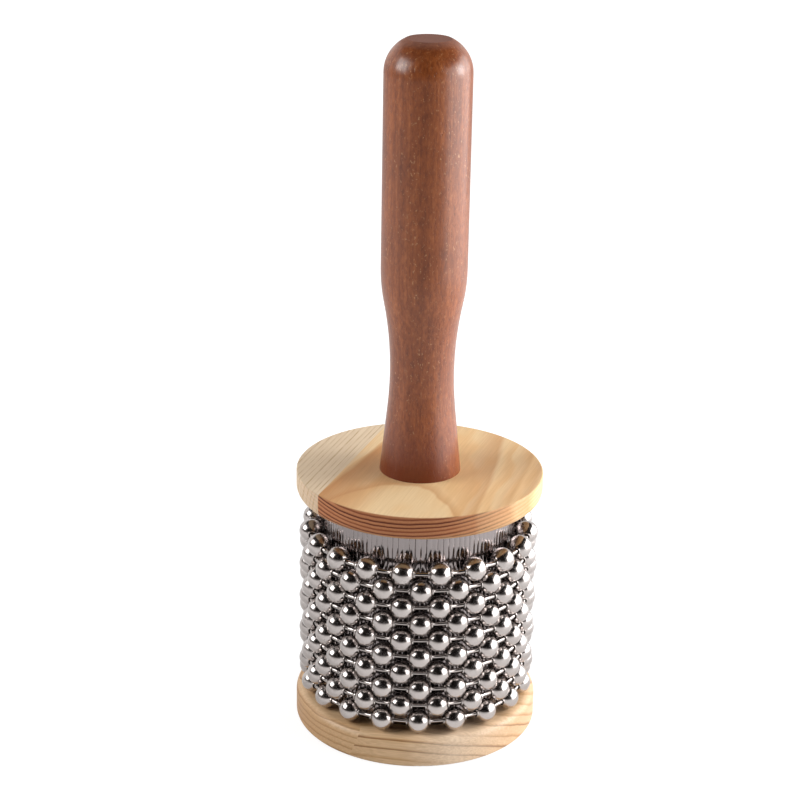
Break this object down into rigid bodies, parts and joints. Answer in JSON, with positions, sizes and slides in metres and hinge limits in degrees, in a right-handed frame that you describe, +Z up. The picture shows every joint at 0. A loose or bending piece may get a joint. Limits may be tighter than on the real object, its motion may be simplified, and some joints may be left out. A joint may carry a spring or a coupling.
{
  "type": "cabasa",
  "caption": "Hand percussion shaker: turned wooden handle on a fluted steel drum between two pine discs, with stacked loops of steel ball chain that spin and slide on the drum.",
  "frame": {"origin": "centre of the lower disc's underside, on the surface that the instrument stands on", "axes": "+Z up along the drum and the handle, -Y towards the pictured front"},
  "size_m": [0.075, 0.075, 0.2133],
  "materials": {
    "handle_wood": "reddish brown stain under satin lacquer",
    "pine": "pale pine, sanded, thin clear lacquer",
    "core_wood": "unfinished softwood",
    "sheet_steel": "bright fluted sheet",
    "ball_steel": "polished nickel plate",
    "link_steel": "bright wire",
    "fastener_steel": "zinc plate"
  },
  "bodies": {
    "frame": {"handle": "handle_wood", "top_disc": "pine", "drum_core": "core_wood", "bottom_disc": "pine", "steel_sleeve": "sheet_steel", "sheet_tacks": "fastener_steel", "tie_screw": "fastener_steel", "screw_washer": "fastener_steel"},
    "chain_01": {"chain_01_balls": "ball_steel", "chain_01_links": "link_steel"},
    "chain_02": {"chain_02_balls": "ball_steel", "chain_02_links": "link_steel"},
    "chain_03": {"chain_03_balls": "ball_steel", "chain_03_links": "link_steel"},
    "chain_04": {"chain_04_balls": "ball_steel", "chain_04_links": "link_steel"},
    "chain_05": {"chain_05_balls": "ball_steel", "chain_05_links": "link_steel"},
    "chain_06": {"chain_06_balls": "ball_steel", "chain_06_links": "link_steel"},
    "chain_07": {"chain_07_balls": "ball_steel", "chain_07_links": "link_steel"},
    "chain_08": {"chain_08_balls": "ball_steel", "chain_08_links": "link_steel"},
    "chain_09": {"chain_09_balls": "ball_steel", "chain_09_links": "link_steel"},
    "chain_10": {"chain_10_balls": "ball_steel", "chain_10_links": "link_steel"}
  },
  "joints": [
    {"name": "chain_spin", "type": "hinge", "parent": "frame", "child": "chain_01", "pos_m": [0, 0, 0], "axis": [0, 0, 1], "continuous": true},
    {"name": "chain_02_lift", "type": "slide", "parent": "chain_01", "child": "chain_02", "axis": [0, 0, 1], "range_m": [0, 0.0009]},
    {"name": "chain_03_lift", "type": "slide", "parent": "chain_02", "child": "chain_03", "axis": [0, 0, 1], "range_m": [0, 0.0009]},
    {"name": "chain_04_lift", "type": "slide", "parent": "chain_03", "child": "chain_04", "axis": [0, 0, 1], "range_m": [0, 0.0009]},
    {"name": "chain_05_lift", "type": "slide", "parent": "chain_04", "child": "chain_05", "axis": [0, 0, 1], "range_m": [0, 0.0009]},
    {"name": "chain_06_lift", "type": "slide", "parent": "chain_05", "child": "chain_06", "axis": [0, 0, 1], "range_m": [0, 0.0009]},
    {"name": "chain_07_lift", "type": "slide", "parent": "chain_06", "child": "chain_07", "axis": [0, 0, 1], "range_m": [0, 0.0009]},
    {"name": "chain_08_lift", "type": "slide", "parent": "chain_07", "child": "chain_08", "axis": [0, 0, 1], "range_m": [0, 0.0009]},
    {"name": "chain_09_lift", "type": "slide", "parent": "chain_08", "child": "chain_09", "axis": [0, 0, 1], "range_m": [0, 0.0009]},
    {"name": "chain_10_lift", "type": "slide", "parent": "chain_09", "child": "chain_10", "axis": [0, 0, 1], "range_m": [0, 0.0009]}
  ]
}
